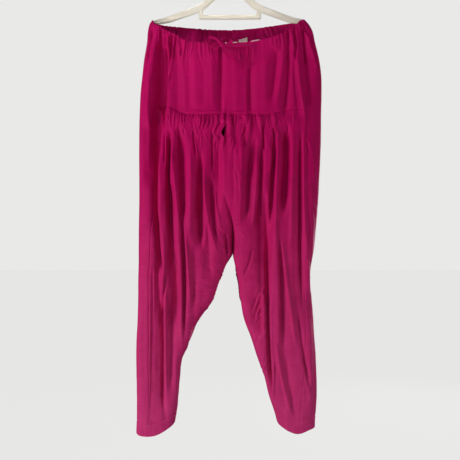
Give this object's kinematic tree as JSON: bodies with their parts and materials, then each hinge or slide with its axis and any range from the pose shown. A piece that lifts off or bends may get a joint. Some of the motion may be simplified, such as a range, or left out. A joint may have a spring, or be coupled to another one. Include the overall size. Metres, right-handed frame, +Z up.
{
  "type": "harem pants on a hanger",
  "caption": "Loose gathered harem pants with a yoke, front slit and drawstring waist, hung by the waist on a moulded hanger.",
  "frame": {"origin": "inside top of the hanger's hook, where a rail carries it", "axes": "+Z up along the hook and the legs, +X to the right as seen from the front, the front faces -Y"},
  "size_m": [0.4526, 0.1095, 1.2018],
  "materials": {
    "magenta_cloth": "matte with a soft sheen",
    "drawstring_cloth": "matte",
    "white_tape": "matte",
    "grey_label": "satin",
    "cream_plastic": "satin"
  },
  "bodies": {
    "root": {"casing_front_right": "magenta_cloth", "casing_back": "magenta_cloth", "casing_front_left": "magenta_cloth", "yoke_front_right": "magenta_cloth", "yoke_front_left": "magenta_cloth", "yoke_back": "magenta_cloth", "front_leg_right": "magenta_cloth", "back_leg_right": "magenta_cloth", "back_leg_left": "magenta_cloth", "front_leg_left": "magenta_cloth", "side_panel_right": "magenta_cloth", "side_panel_left": "magenta_cloth", "hem_band_right": "magenta_cloth", "hem_band_left": "magenta_cloth", "drawstring_knot": "drawstring_cloth", "drawstring_loop": "drawstring_cloth", "drawstring_right_end": "drawstring_cloth", "drawstring_left_end": "drawstring_cloth", "inner_tape": "white_tape", "size_label": "grey_label", "hanger_arms": "cream_plastic", "hanger_tie_bar": "cream_plastic", "hanger_hook": "cream_plastic"}
  },
  "joints": []
}
